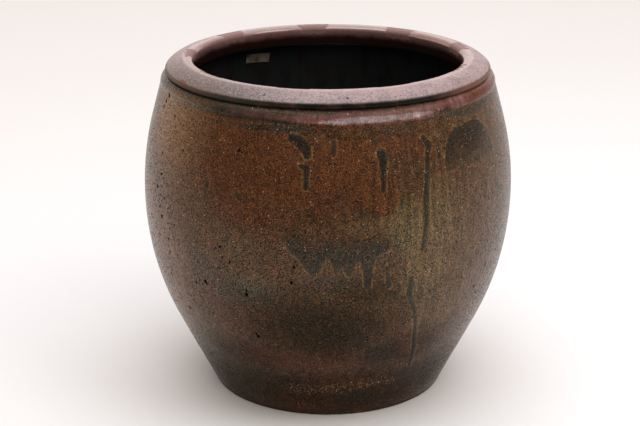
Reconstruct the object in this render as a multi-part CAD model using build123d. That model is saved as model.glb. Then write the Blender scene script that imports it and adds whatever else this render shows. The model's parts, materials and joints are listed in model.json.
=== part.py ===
from build123d import *
import math
import os

# Open stoneware storage vat, built up from a slab and coils and glazed inside and out.
# Millimetres, +Z up. The origin is the centre of the flat underside.
# Outline sizes are read on the fired glaze, and a depth is measured square to that surface.

# Body outline: a straight foot cone, one belly arc and a straight shoulder cone, all tangent
jar_height = 461.0
belly_radius = 253.6
belly_height = 279.0
belly_arc_radius = 393.0
foot_angle = 26.3
shoulder_angle = 15.4

# Clay wall and fired coats
clay_thickness = 12.5
glaze_thickness = 0.8

# Base slab, foot and the coil pressed into the inner corner
slab_thickness = 16.0
foot_edge_round = 3.0
glaze_line_height = 5.0
corner_coil_leg = 18.0
corner_coil_hollow = 3.0

# Coils of the wall, by the height at which the first joint shows outside
foot_joint_height = 56.0
wall_coil_count = 5
coil_lap = 14.0

# Neck band: a roll between the body's shoulder and the groove under the rim
neck_roll_height = 14.0
neck_set_back = 9.0
neck_roll_bulge = 3.0

# Rim flange: half-round outer edge, sloping top, level crown, round lip and straight throat
rim_edge_height = 9.0
rim_overhang = 2.2
rim_slope_drop = 10.0
rim_slope_width = 24.0
rim_crown_width = 5.0
rim_lip_radius = 7.0
rim_throat_height = 17.0
rim_under_round = 5.0
rim_lap = 18.0
rim_cove_hollow = 1.5

# Bare scars left on the rim by the clay wads that held a second pot in the kiln
wad_count = 9
wad_start_angle = 16.5
wad_outer_width = 50.0
wad_inner_width = 38.0
wad_reach_down = 11.0
wad_reach_out = 10.0

# Glaze runs: the azimuths of each run's start and end, in degrees from the front towards the
# right, then both heights as shares of the jar's height and the width as a share of the widest run
run_relief = 0.7
run_width = 20.0
run_shares = (
    (-9.2, -6.3, 0.884, 0.844, 0.75),
    (-6.2, -6.3, 0.815, 0.757, 0.40),
    (1.8, 1.8, 0.883, 0.843, 0.32),
    (16.3, 16.5, 0.849, 0.799, 0.62),
    (16.4, 16.2, 0.812, 0.741, 0.36),
    (31.8, 28.5, 0.874, 0.563, 0.42),
    (35.8, 35.7, 0.842, 0.809, 0.38),
    (-38.2, -39.2, 0.742, 0.685, 0.38),
    (21.3, 21.6, 0.475, 0.442, 0.32),
    (25.2, 25.7, 0.485, 0.424, 0.44),
    (25.7, 33.3, 0.432, 0.165, 0.38),
)

# Glaze curtain on the belly: one ragged sheet whose hem ends in tongues. The shares of a tongue
# are its start and end azimuths, its drop below the hem as a share of the longest, and its width
# as a share of the widest run
curtain_angle = 5.0
curtain_top_share = 0.620
curtain_drop = 31.3
curtain_span = 138.0
curtain_corner_round = 10.0
tongue_drop = 42.0
tongue_shares = (
    (-4.4, -3.8, 0.52, 0.85),
    (2.4, 2.3, 0.43, 0.42),
    (6.0, 6.2, 0.50, 0.52),
    (11.4, 11.8, 1.00, 0.54),
    (17.6, 18.2, 0.98, 0.36),
)

# Blank paper label on the inner wall, a little proud of it
label_angle = -151.5
label_below_cove = 12.5
label_width = 38.0
label_drop = 14.0
label_tilt = 3.0
label_thickness = 0.3
label_gap = 0.4

# Room left between the outer coat and the runs that lie on it
skin_gap = 0.05

# How far cutting shapes run past what they cut
overrun = 30.0

wall_thickness = clay_thickness + 2 * glaze_thickness
groove_height = jar_height - rim_slope_drop - rim_edge_height
shoulder_height = groove_height - neck_roll_height
floor_height = slab_thickness + glaze_thickness
cove_height = groove_height - rim_lap
belly_centre_radius = belly_radius - belly_arc_radius


def arc_height(depth, angle):
    """Height at which the belly arc, at a depth under the glaze, meets a cone of that angle."""
    return belly_height + (belly_arc_radius - depth) * math.sin(math.radians(angle))


def skin_radius(depth, height):
    """Radius of the body at a height, at a depth under the outer glaze."""
    arc = belly_arc_radius - depth
    rise = height - belly_height
    for angle, beyond in ((-foot_angle, height < arc_height(depth, -foot_angle)),
                          (shoulder_angle, height > arc_height(depth, shoulder_angle))):
        if beyond:
            turn = math.radians(angle)
            return belly_centre_radius + arc / math.cos(turn) - rise * math.tan(turn)
    return belly_centre_radius + math.sqrt(arc ** 2 - rise ** 2)


def groove_radius():
    """Radius at the groove, where the neck band meets the rim."""
    return skin_radius(0, shoulder_height) - neck_set_back


def skin_point(depth, height):
    """Point of the half section on the body's skin."""
    return (skin_radius(depth, height), height)


def skin_curve(depth, start, end):
    """Half section's line along the skin from one height to another, up or down."""
    arc_ends = [arc_height(depth, -foot_angle), arc_height(depth, shoulder_angle)]
    between = sorted(height for height in arc_ends if min(start, end) < height < max(start, end))
    if start > end:
        between.reverse()
    stations = [start, *between, end]
    curve = []
    for here, there in zip(stations, stations[1:]):
        middle = (here + there) / 2
        if arc_ends[0] < middle < arc_ends[1]:
            curve.append(ThreePointArc(skin_point(depth, here), skin_point(depth, middle),
                                       skin_point(depth, there)))
        else:
            curve.append(Line(skin_point(depth, here), skin_point(depth, there)))
    return curve


def rim_curve():
    """Half section's line from the shoulder over the neck band and rim to the inner wall."""
    shoulder = skin_point(0, shoulder_height)
    groove = (groove_radius(), groove_height)
    edge_top = (groove[0], groove_height + rim_edge_height)
    crown_out = (edge_top[0] - rim_slope_width, jar_height)
    crown_in = (crown_out[0] - rim_crown_width, jar_height)
    throat = crown_in[0] - rim_lip_radius
    throat_top = (throat, jar_height - rim_lip_radius)
    throat_foot = (throat, throat_top[1] - rim_throat_height)
    under = (throat + rim_under_round, throat_foot[1] - rim_under_round)
    wall = skin_point(wall_thickness, cove_height)
    slope_radius = (rim_slope_width ** 2 + rim_slope_drop ** 2) / (2 * rim_slope_drop)
    return [
        SagittaArc(shoulder, groove, -neck_roll_bulge),
        SagittaArc(groove, edge_top, -rim_overhang),
        RadiusArc(edge_top, crown_out, -slope_radius),
        Line(crown_out, crown_in),
        RadiusArc(crown_in, throat_top, -rim_lip_radius),
        Line(throat_top, throat_foot),
        RadiusArc(throat_foot, under, -rim_under_round),
        SagittaArc(under, wall, rim_cove_hollow),
    ]


def floor_curve():
    """Half section's line from the inner wall over the corner coil and floor to the axis."""
    wall = skin_point(wall_thickness, floor_height + corner_coil_leg)
    corner = (skin_radius(wall_thickness, floor_height) - corner_coil_leg, floor_height)
    return [
        SagittaArc(wall, corner, corner_coil_hollow),
        Line(corner, (-overrun, floor_height)),
    ]


def glazed_outline():
    """Half section's outline of the glazed vat, in order: up outside, over the rim and down inside.

    It runs on past the axis and below the floor, and is cut off there later.
    """
    below = skin_point(0, -overrun)
    edges = skin_curve(0, -overrun, shoulder_height)
    edges += rim_curve()
    edges += skin_curve(wall_thickness, cove_height, floor_height + corner_coil_leg)
    edges += floor_curve()
    edges += [Line((-overrun, floor_height), (-overrun, -overrun)), Line((-overrun, -overrun), below)]
    return edges


def outward(tangent):
    """Direction out of the clay at a point of the outline, from the outline's own direction there."""
    return Vector(tangent.Y, -tangent.X)


def sunk_outline(edges, depth):
    """The same lines and arcs, all moved into the clay by a depth, with mitred corners."""
    corners = []
    for before, after in zip(edges[-1:] + edges[:-1], edges):
        side = outward(before % 1)
        next_side = outward(after % 0)
        corners.append((after @ 0) - (side + next_side) * (depth / (1 + side.dot(next_side))))
    sunk = []
    for edge, start, end in zip(edges, corners, corners[1:] + corners[:1]):
        if edge.geom_type == GeomType.LINE:
            sunk.append(Line(start, end))
        else:
            sunk.append(ThreePointArc(start, (edge @ 0.5) - outward(edge % 0.5) * depth, end))
    return sunk


def half_plane(low, high):
    """Rectangle of the half section between two heights, out from the axis."""
    outer = belly_radius + overrun
    return make_face(Polyline((0, low), (outer, low), (outer, high), (0, high), close=True))


def inside_skin(depth):
    """Half section of all that lies inside the skin at a depth, and above the shoulder in the neck."""
    edges = skin_curve(depth, -overrun, shoulder_height)
    edges.append(Polyline(
        skin_point(depth, shoulder_height),
        (groove_radius() - neck_set_back, groove_height),
        (0, groove_height),
        (0, -overrun),
        skin_point(depth, -overrun),
    ))
    return make_face(edges)


def joint_line(height, lap):
    """Joint between two rings of clay: it shows outside at a height and falls by the lap inside."""
    inner = skin_point(wall_thickness, height - lap)
    outer = skin_point(0, height)
    if height == groove_height:
        outer = (groove_radius(), height)
    return [(0, inner[1]), inner, outer, (belly_radius + overrun, height)]


def ring_band(lower, upper):
    """Region of the half section between two joint lines."""
    return make_face(Polyline(*lower, *reversed(upper), close=True))


def turn(section):
    """Solid of revolution of a half section about the vat's axis."""
    return revolve(Plane.XZ * section, axis=Axis.Z)


def joint_heights():
    """Heights at which the wall coils' joints show outside, from the foot joint to the shoulder."""
    step = (shoulder_height - foot_joint_height) / wall_coil_count
    return [foot_joint_height + step * number for number in range(wall_coil_count + 1)]


def clay_rings(clay):
    """Slab, corner coil, foot coil, wall coils, neck band and rim flange, by name."""
    slab_joint = joint_line(slab_thickness, 0)
    joints = [joint_line(height, coil_lap) for height in joint_heights()]
    rim_joint = joint_line(groove_height, rim_lap)
    slab = turn(clay & half_plane(0, slab_thickness))
    foot_band = clay & ring_band(slab_joint, joints[0])
    hollow = inside_skin(wall_thickness - glaze_thickness)
    rings = {
        "base_slab": fillet(slab.edges().group_by(Axis.Z)[0], foot_edge_round),
        "corner_coil": turn(foot_band & hollow),
        "foot_coil": turn(foot_band - hollow),
    }
    for number in range(wall_coil_count):
        rings[f"wall_coil_{number + 1}"] = turn(clay & ring_band(joints[number], joints[number + 1]))
    rings["neck_band"] = turn(clay & ring_band(joints[-1], rim_joint))
    above = [(0, jar_height + overrun), (belly_radius + overrun, jar_height + overrun)]
    rings["rim_flange"] = turn(clay & ring_band(rim_joint, above))
    return rings


def wad_windows():
    """Wedges that bare the clay at the wad scars, from the rim's crown down its inner lip."""
    crown_in = groove_radius() - rim_slope_width - rim_crown_width
    throat = crown_in - rim_lip_radius
    inner_half = wad_inner_width / 2
    outer_half = wad_outer_width / 2
    plan = make_face(Polyline(
        (throat - overrun, -inner_half),
        (throat, -inner_half),
        (crown_in + wad_reach_out, -outer_half),
        (crown_in + wad_reach_out, outer_half),
        (throat, inner_half),
        (throat - overrun, inner_half),
        close=True,
    ))
    wedge = extrude(Plane.XY.offset(jar_height - wad_reach_down) * plan, wad_reach_down + overrun)
    step = 360 / wad_count
    return [Rot(0, 0, wad_start_angle + step * number) * wedge for number in range(wad_count)]


def glaze_coats(coat):
    """Outer coat, liner and rim coat, parted at the groove under the rim and in the throat."""
    hollow_side = inside_skin(wall_thickness / 2)
    rim_coat = turn(coat & half_plane(groove_height, jar_height + overrun))
    for window in wad_windows():
        rim_coat -= window
    return {
        "outer_glaze": turn((coat & half_plane(glaze_line_height, groove_height)) - hollow_side),
        "liner_glaze": turn(coat & half_plane(0, groove_height) & hollow_side),
        "rim_glaze": rim_coat,
    }


def side_plane(angle):
    """Upright plane through the axis whose normal points out at an azimuth from the front."""
    turn_angle = math.radians(angle)
    outward = (math.sin(turn_angle), -math.cos(turn_angle), 0)
    along = (math.cos(turn_angle), math.sin(turn_angle), 0)
    return Plane(origin=(0, 0, 0), x_dir=along, z_dir=outward)


def skin_shell(depth, thickness, low, high):
    """Thin ring that lies under the skin at a depth, between two heights."""
    edges = skin_curve(depth, low, high) + skin_curve(depth + thickness, low, high)
    edges += [Line(skin_point(depth, height), skin_point(depth + thickness, height))
              for height in (low, high)]
    return turn(make_face(edges))


def drop_outline(start, end, width_share, plane_angle):
    """Outline of one run with round ends, on the side plane at an azimuth.

    The start and the end are each an azimuth and a height.
    """
    ends = [Vector(skin_radius(0, height) * math.sin(math.radians(angle - plane_angle)), height)
            for angle, height in (start, end)]
    fall = ends[1] - ends[0]
    middle = (ends[0] + ends[1]) / 2
    width = min(run_width * width_share, fall.length / 2)
    lean = math.degrees(math.atan2(fall.Y, fall.X))
    return Pos(middle.X, middle.Y) * SlotOverall(fall.length, width, rotation=lean)


def curtain_outline():
    """Outline of the curtain on its own side plane, with tongues hanging from its hem."""
    top = curtain_top_share * jar_height
    hem = top - curtain_drop
    corner = min(curtain_corner_round, curtain_drop / 3)
    outline = Pos(0, (top + hem) / 2) * RectangleRounded(curtain_span, curtain_drop, corner)
    for start_angle, end_angle, drop_share, width_share in tongue_shares:
        root = (start_angle, (top + hem) / 2)
        tip = (end_angle, hem - drop_share * tongue_drop)
        outline += drop_outline(root, tip, width_share, curtain_angle)
    return outline


def glaze_runs():
    """Raised runs and the curtain, each a separate solid lying on the outer glaze."""
    shell = skin_shell(-run_relief, run_relief - skin_gap, foot_joint_height, shoulder_height)
    solids = []
    for start_angle, end_angle, start_share, end_share, width_share in run_shares:
        start = (start_angle, start_share * jar_height)
        end = (end_angle, end_share * jar_height)
        plane_angle = (start_angle + end_angle) / 2
        outline = side_plane(plane_angle) * drop_outline(start, end, width_share, plane_angle)
        solids += (shell & extrude(outline, belly_radius + overrun)).solids()
    sheet = side_plane(curtain_angle) * curtain_outline()
    solids += (shell & extrude(sheet, belly_radius + overrun)).solids()
    merged = solids[0].fuse(*solids[1:])
    return Compound(merged.solids())


def paper_label():
    """Small rectangle of paper pasted on the liner, bowed to the wall."""
    reach = label_width / 2
    face = wall_thickness + label_gap
    height = cove_height - label_below_cove
    shell = skin_shell(face, label_thickness, height - reach, height + reach)
    outline = Pos(0, height) * Rectangle(label_width, label_drop, rotation=label_tilt)
    block = extrude(side_plane(label_angle) * outline, belly_radius + overrun)
    return shell & block


def main():
    outline = glazed_outline()
    in_half = half_plane(0, jar_height + overrun)
    clay = make_face(sunk_outline(outline, glaze_thickness)) & in_half
    coat = (make_face(outline) & in_half) - clay
    nodes = clay_rings(clay)
    nodes.update(glaze_coats(coat))
    nodes["glaze_runs"] = glaze_runs()
    nodes["paper_label"] = paper_label()
    os.makedirs("parts", exist_ok=True)
    for name, shape in nodes.items():
        export_step(shape, f"parts/{name}.step")
    rim_radius = groove_radius() + rim_overhang
    print(f"foot radius {skin_radius(0, 0):.1f}, shoulder radius {skin_radius(0, shoulder_height):.1f}")
    print(f"rim radius {rim_radius:.1f}, height {jar_height:.1f}")


main()
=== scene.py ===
"""Studio scene of an open stoneware vat, built up of coils and glazed rust-brown outside and black inside.

The vat stands on its bare foot at the origin, its front towards -Y and its right towards +X.
Sizes are metres. A place on the vat is an azimuth in degrees from the front, positive towards
the right, and a height.
"""

import json
import logging
import math
from collections.abc import Callable
from dataclasses import dataclass, field
from enum import Enum
from functools import partial

import bmesh
import bpy
import numpy as np
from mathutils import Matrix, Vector

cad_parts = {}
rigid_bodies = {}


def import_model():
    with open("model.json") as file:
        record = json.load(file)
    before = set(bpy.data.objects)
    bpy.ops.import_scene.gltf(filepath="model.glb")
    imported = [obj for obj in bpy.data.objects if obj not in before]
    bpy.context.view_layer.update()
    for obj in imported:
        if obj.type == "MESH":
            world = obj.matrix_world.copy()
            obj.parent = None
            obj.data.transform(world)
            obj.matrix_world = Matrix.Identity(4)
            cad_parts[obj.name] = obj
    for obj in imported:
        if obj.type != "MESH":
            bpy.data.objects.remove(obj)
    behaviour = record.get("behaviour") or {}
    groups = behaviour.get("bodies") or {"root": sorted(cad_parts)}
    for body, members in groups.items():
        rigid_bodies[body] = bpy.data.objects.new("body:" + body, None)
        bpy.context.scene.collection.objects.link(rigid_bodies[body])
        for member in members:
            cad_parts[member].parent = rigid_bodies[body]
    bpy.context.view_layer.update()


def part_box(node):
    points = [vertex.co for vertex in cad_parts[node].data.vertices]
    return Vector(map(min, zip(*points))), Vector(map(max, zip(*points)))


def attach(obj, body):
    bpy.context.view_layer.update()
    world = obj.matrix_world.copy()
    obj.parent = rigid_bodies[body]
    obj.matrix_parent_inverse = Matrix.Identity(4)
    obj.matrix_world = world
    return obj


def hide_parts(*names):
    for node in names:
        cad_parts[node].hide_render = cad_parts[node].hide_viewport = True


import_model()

MM = 0.001
WELD = 0.005 * MM
BODY = "root"
log = logging.getLogger("vat")

Array = np.ndarray
Fields = tuple[Array, Array, Array]
Point = tuple[float, float]
Socket = bpy.types.NodeSocket
Adder = Callable[..., Socket]


class Slot(Enum):
    """Names of the record's material slots, one for each kind of new piece."""

    RUST = "rust_glaze"
    LINER = "black_liner"
    MAUVE = "mauve_glaze"
    LABEL = "label_paper"


# Shader helpers


def linear(code: str) -> tuple[float, float, float, float]:
    """Turns an sRGB hex colour into linear red, green, blue and alpha.

    Args:
        code: Six hex digits, with or without a leading hash.

    Returns:
        The linear colour with an alpha of 1.
    """
    digits = code.lstrip("#")
    parts = [int(digits[i:i + 2], 16) / 255 for i in (0, 2, 4)]
    red, green, blue = (p / 12.92 if p <= 0.04045 else ((p + 0.055) / 1.055) ** 2.4 for p in parts)
    return red, green, blue, 1.0


def add(tree: bpy.types.NodeTree, kind: str, *values: object, out: int = 0, **given: object) -> Socket:
    """Adds one shader node, with its settings and links.

    An input takes a number, a hex colour or another node's output.

    Args:
        tree: The node tree that gets the node.
        kind: The node's type, without the ShaderNode prefix.
        *values: The first inputs that the node shows with its settings, in their order.
        out: Index of the wanted output among those that the node shows.
        **given: Settings by their own names, and other inputs by name with underscores for spaces.

    Returns:
        The wanted output socket, where the node has any.
    """
    node = tree.nodes.new(f"ShaderNode{kind}")
    settings = [name for name in given if hasattr(node, name)]
    for name in settings:
        setattr(node, name, given[name])
    wanted = list(zip((socket for socket in node.inputs if socket.enabled), values))
    wanted += [(node.inputs[name.replace("_", " ")], given[name]) for name in given if name not in settings]
    for socket, value in wanted:
        if isinstance(value, bpy.types.NodeSocket):
            tree.links.new(value, socket)
        elif isinstance(value, str):
            socket.default_value = linear(value)[:len(socket.default_value)]
        else:
            socket.default_value = value
    shown = [socket for socket in node.outputs if socket.enabled]
    return shown[out] if shown else None


# The vat's outline


@dataclass(frozen=True)
class VatOutline:
    """Half section of the fired vat, read on the glaze.

    The overall heights and radii come from the frame. The rest are the maker's sizes.
    """

    height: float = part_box("rim_glaze")[1].z
    groove_height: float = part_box("outer_glaze")[1].z
    glaze_line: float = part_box("outer_glaze")[0].z
    belly_radius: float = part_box("outer_glaze")[1].x
    rim_radius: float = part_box("rim_glaze")[1].x
    slab_top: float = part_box("base_slab")[1].z
    belly_height: float = 279.0 * MM
    belly_arc: float = 393.0 * MM
    foot_angle: float = 26.3
    shoulder_angle: float = 15.4
    wall: float = 14.1 * MM
    glaze: float = 0.8 * MM
    neck_height: float = 14.0 * MM
    neck_bulge: float = 3.0 * MM
    edge_height: float = 9.0 * MM
    overhang: float = 2.2 * MM
    slope_width: float = 24.0 * MM
    crown_width: float = 5.0 * MM
    lip_radius: float = 7.0 * MM
    throat_height: float = 17.0 * MM
    under_round: float = 5.0 * MM
    lap: float = 18.0 * MM
    cove_hollow: float = 1.5 * MM
    corner_leg: float = 18.0 * MM
    corner_hollow: float = 3.0 * MM

    @property
    def shoulder_height(self) -> float:
        """Height at which the neck band begins."""
        return self.groove_height - self.neck_height

    @property
    def groove_radius(self) -> float:
        """Radius of the groove under the rim."""
        return self.rim_radius - self.overhang

    @property
    def throat_radius(self) -> float:
        """Radius of the straight throat inside the rim."""
        return self.groove_radius - self.slope_width - self.crown_width - self.lip_radius

    @property
    def floor_height(self) -> float:
        """Height of the glazed floor inside."""
        return self.slab_top + self.glaze

    def skin_radius(self, z: Array | float, depth: float = 0.0) -> Array:
        """Radius of the body at a height, at a depth under the outer glaze.

        Args:
            z: Heights.
            depth: Depth, measured square to the skin.

        Returns:
            The radii at those heights.
        """
        arc = self.belly_arc - depth
        centre = self.belly_radius - self.belly_arc
        rise = np.asarray(z, float) - self.belly_height
        low, high = math.radians(-self.foot_angle), math.radians(self.shoulder_angle)
        round_part = centre + np.sqrt(np.maximum(arc ** 2 - rise ** 2, 0.0))
        foot = centre + arc / math.cos(low) - rise * math.tan(low)
        shoulder = centre + arc / math.cos(high) - rise * math.tan(high)
        inside = np.where(rise < arc * math.sin(low), foot, round_part)
        return np.where(rise > arc * math.sin(high), shoulder, inside)

    def skin_points(self, low: float, high: float, step: float, depth: float = 0.0) -> list[Point]:
        """Points of the section along the skin, from one height up to another."""
        count = max(2, round((high - low) / step) + 1)
        heights = np.linspace(low, high, count)
        return list(zip(self.skin_radius(heights, depth), heights))

    def rim_points(self, step: float) -> list[Point]:
        """Points of the section from the groove over the rim's top, lip and throat to the inner wall."""
        groove = (self.groove_radius, self.groove_height)
        edge_top = (groove[0], groove[1] + self.edge_height)
        crown_out = (edge_top[0] - self.slope_width, self.height)
        crown_in = (crown_out[0] - self.crown_width, self.height)
        throat_top = (self.throat_radius, self.height - self.lip_radius)
        throat_foot = (self.throat_radius, throat_top[1] - self.throat_height)
        under = (throat_foot[0] + self.under_round, throat_foot[1] - self.under_round)
        cove = self.groove_height - self.lap
        wall = (float(self.skin_radius(cove, self.wall)), cove)
        drop = self.height - edge_top[1]
        slope_radius = (self.slope_width ** 2 + drop ** 2) / (2 * drop)
        quarter = 1 - math.sqrt(0.5)
        return joined([
            bowed(groove, edge_top, self.overhang, step),
            bowed(edge_top, crown_out, sagitta(edge_top, crown_out, slope_radius), step),
            bowed(crown_out, crown_in, 0.0, step),
            bowed(crown_in, throat_top, self.lip_radius * quarter, step),
            bowed(throat_top, throat_foot, 0.0, step),
            bowed(throat_foot, under, self.under_round * quarter, step),
            bowed(under, wall, -self.cove_hollow, step),
        ])

    def neck_points(self, step: float) -> list[Point]:
        """Points of the section along the moulded neck band."""
        shoulder = (float(self.skin_radius(self.shoulder_height)), self.shoulder_height)
        return bowed(shoulder, (self.groove_radius, self.groove_height), self.neck_bulge, step)


def sagitta(start: Point, end: Point, radius: float) -> float:
    """Height of the arc of that radius over the chord between two points."""
    half = math.dist(start, end) / 2
    return radius - math.sqrt(radius ** 2 - half ** 2)


def bowed(start: Point, end: Point, bulge: float, step: float) -> list[Point]:
    """Points along an arc of the section.

    Args:
        start: First point.
        end: Last point.
        bulge: Height of the arc over its chord, positive to the right of the way from start to end.
        step: Largest distance between two points.

    Returns:
        Evenly spaced points, with both ends.
    """
    chord = Vector(end) - Vector(start)
    count = max(1, math.ceil(chord.length / step))
    if abs(bulge) < 1e-9:
        return [tuple(Vector(start) + chord * (i / count)) for i in range(count + 1)]
    radius = (chord.length ** 2 / 4 + bulge ** 2) / (2 * abs(bulge))
    turn = math.copysign(1.0, bulge)
    right = Vector((chord.y, -chord.x)).normalized() * turn
    centre = Vector(start) + chord / 2 + right * (abs(bulge) - radius)
    count = max(count, 4)
    half_angle = math.asin(min(1.0, chord.length / 2 / radius))
    if abs(bulge) > chord.length / 2:
        half_angle = math.pi - half_angle
    angles = (half_angle * (2 * i / count - 1) for i in range(count + 1))
    along = chord.normalized()
    return [tuple(centre + right * (radius * math.cos(a)) + along * (radius * math.sin(a))) for a in angles]


def joined(runs: list[list[Point]]) -> list[Point]:
    """Runs of points one after the other, without the doubled ends."""
    points = list(runs[0])
    for run in runs[1:]:
        points += run[1:]
    return points


OUTLINE = VatOutline()


# The glaze as it ran and pooled


@dataclass(frozen=True)
class Patch:
    """Soft-edged patch of one glaze tone."""

    azimuth: float
    height: float
    half_azimuth: float
    half_height: float
    strength: float = 1.0


@dataclass(frozen=True)
class Run:
    """Run of glaze through stations of azimuth, height and half width, heights and widths in mm."""

    stations: tuple[tuple[float, float, float], ...]
    cover: float = 1.0
    relief: float = 1.0


@dataclass(frozen=True)
class Sheet:
    """Sheet of thick glaze within corners of azimuth and height, which fades between two heights, in mm."""

    gone: float
    full: float
    cover: float
    relief: float
    corners: tuple[Point, ...]


def patches(*rows: tuple[float, ...]) -> tuple[Patch, ...]:
    """Patches from rows of azimuth, height, half azimuth, half height and strength."""
    return tuple(Patch(*row) for row in rows)


# Runs and drips, from the shoulder down
RUNS = (
    Run(((-11, 409, 5.5), (-8.5, 405, 7.5), (-6.6, 397, 7), (-6, 389, 4.5)), 0.95),
    Run(((-8, 376, 2.4), (-6.2, 374, 4.2), (-6.3, 360, 2.8), (-6.3, 351, 4)), 0.95),
    Run(((1.8, 405, 3.2), (1.8, 391, 3.2)), 0.8),
    Run(((16.2, 389, 6.2), (16.6, 380, 6), (16.4, 368, 3.9), (16.2, 344, 3.4)), 1),
    Run(((30.6, 402, 3.4), (32.3, 392, 5), (31.4, 380, 3.6), (30.4, 352, 3.9), (29.6, 325, 4.6),
         (29.8, 305, 3.6), (29.3, 285, 3.8), (28.7, 266, 4.2), (28.5, 262, 3.4)), 0.9),
    Run(((35.8, 388, 4.2), (35.7, 376, 3.2)), 0.75),
    Run(((-38.2, 341, 4), (-38.8, 327, 3.8), (-39.2, 317, 3.8)), 0.5, 0.4),
    Run(((21.8, 329, 2.8), (21.2, 319, 3.4)), 0.6, 0.3),
    Run(((25.9, 315, 3.6), (26, 308, 3.8)), 0.5, 0.3),
    Run(((24, 338, 2.2), (24.2, 323, 2.2)), 0.4, 0.2),
    Run(((17.5, 241, 3.2), (17.8, 228, 2.9), (18.2, 217, 3.8)), 0.85),
    Run(((20.1, 243, 2.6), (20.4, 233, 3)), 0.45, 0.3),
    Run(((21.3, 216, 2.8), (21.6, 207, 3.4)), 0.7, 0.7),
    Run(((25.2, 222, 3.8), (25.5, 212, 4.6), (25.1, 201, 4.4), (26.4, 188, 3.8), (28.2, 171, 3.2),
         (29.4, 154, 3.4), (30.4, 131, 3.8), (32, 108, 4.2), (33, 90, 4.4), (33.3, 77, 4)), 0.85),
    Run(((36.5, 104, 2.6), (38.4, 82, 2.2), (40.6, 52, 2), (42, 30, 1.6)), 0.45, 0.3),
    Run(((-27.2, 334, 3.2), (-25.6, 326, 3)), 0.35, 0.2),
    Run(((-23.2, 342, 2.6), (-22.8, 337, 2.8)), 0.35, 0.2),
)

# The curtain of dark glaze over the belly, closed well above its hem by its fading top, and the arch at
# the right shoulder, closed below by its fading foot
SHEETS = (
    Sheet(gone=300, full=252, cover=0.95, relief=0.8, corners=(
        (-13.8, 296), (-12.3, 280), (-11.4, 268.5), (-10.1, 262.5), (-8.7, 259), (-7.5, 250.5),
        (-6.3, 242.5), (-5.1, 237), (-3.9, 233), (-2.9, 236), (-1.9, 243.5), (-1.1, 252.5), (-0.3, 258.5),
        (0.5, 258), (1.2, 252), (1.6, 241), (2.2, 237), (3, 238.5), (3.6, 244), (4.3, 247), (4.9, 243),
        (5.3, 236.5), (6.2, 233.5), (7.1, 236.5), (7.6, 246), (8.3, 252.5), (9.2, 253), (9.9, 246),
        (10.4, 234), (10.6, 221), (11, 215.5), (11.8, 213), (12.6, 216), (12.9, 229), (13.1, 245),
        (13.8, 256), (15, 261.5), (16.6, 263), (18.4, 270), (19.5, 296),
    )),
    Sheet(gone=336, full=384, cover=0.85, relief=0.5, corners=(
        (37.4, 355), (38, 376), (39.3, 391), (41.2, 400.5), (43.4, 405.5), (45.2, 407), (47, 405),
        (48.6, 407), (51.2, 408.5), (54, 408), (56.4, 405), (58.3, 399.5), (60.3, 391), (62, 376),
        (63, 355),
    )),
)

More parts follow.
